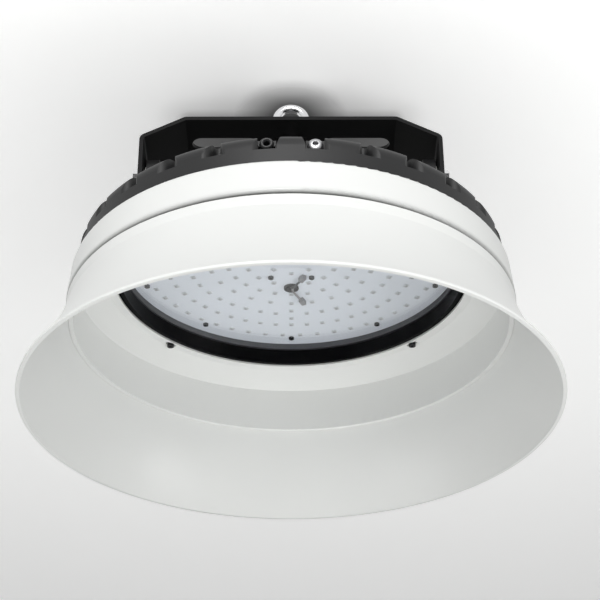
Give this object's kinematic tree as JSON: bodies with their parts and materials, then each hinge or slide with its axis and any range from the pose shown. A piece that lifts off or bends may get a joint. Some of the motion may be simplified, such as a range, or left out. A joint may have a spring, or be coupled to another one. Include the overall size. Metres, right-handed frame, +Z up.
{
  "type": "high bay light",
  "caption": "Round high bay light: a flared white reflector under a black finned LED engine, hung from a tilting steel yoke with an eye bolt.",
  "frame": {"origin": "centre of the reflector's mouth in the plane of its rim", "axes": "+Z up along the lamp's axis towards the eye bolt, +X along the yoke's tilt axis, -Y the side with the cable gland and the vent plug"},
  "size_m": [0.5, 0.5, 0.351],
  "materials": {
    "white_paint": "satin",
    "black_coat": "satin",
    "black_casting": "matte",
    "clear_glass": "polished",
    "board_white": "matte",
    "led_phosphor": "matte",
    "screw_steel": "polished",
    "screw_black": "satin",
    "black_rubber": "matte",
    "grey_silicone": "matte",
    "black_plastic": "matte",
    "white_plastic": "matte",
    "nylon": "matte",
    "nickel": "satin",
    "driver_case": "satin"
  },
  "bodies": {
    "lamp": {"lower_reflector": "white_paint", "upper_reflector": "white_paint", "reflector_screws": "screw_black", "bezel_ring": "black_coat", "bezel_gasket": "black_rubber", "bezel_screws": "screw_black", "lens": "clear_glass", "lens_gasket": "black_rubber", "led_board": "board_white", "thermal_pad": "grey_silicone", "board_screws": "screw_steel", "led_packages": "led_phosphor", "wire_grommet": "black_rubber", "board_terminals": "white_plastic", "led_lead_1": "white_plastic", "led_lead_2": "black_rubber", "heat_sink": "black_casting", "led_driver": "driver_case", "driver_screws": "screw_steel", "cover_gasket": "black_rubber", "driver_cover": "black_coat", "cover_screws": "screw_steel", "gland_body": "black_plastic", "gland_seal": "black_rubber", "gland_nut": "black_plastic", "vent_plug": "nickel", "friction_washers": "nylon", "pivot_washers": "screw_steel", "spring_washers": "screw_steel", "pivot_bolts": "screw_steel"},
    "hanger": {"yoke": "black_coat", "eye_bolt": "screw_steel", "eye_nut": "screw_steel", "eye_washer": "screw_steel"}
  },
  "joints": [
    {"name": "yoke_tilt", "type": "hinge", "parent": "lamp", "child": "hanger", "pos_m": [0, 0, 0.26], "axis": [1, 0, 0], "range_deg": [-60, 60]}
  ]
}
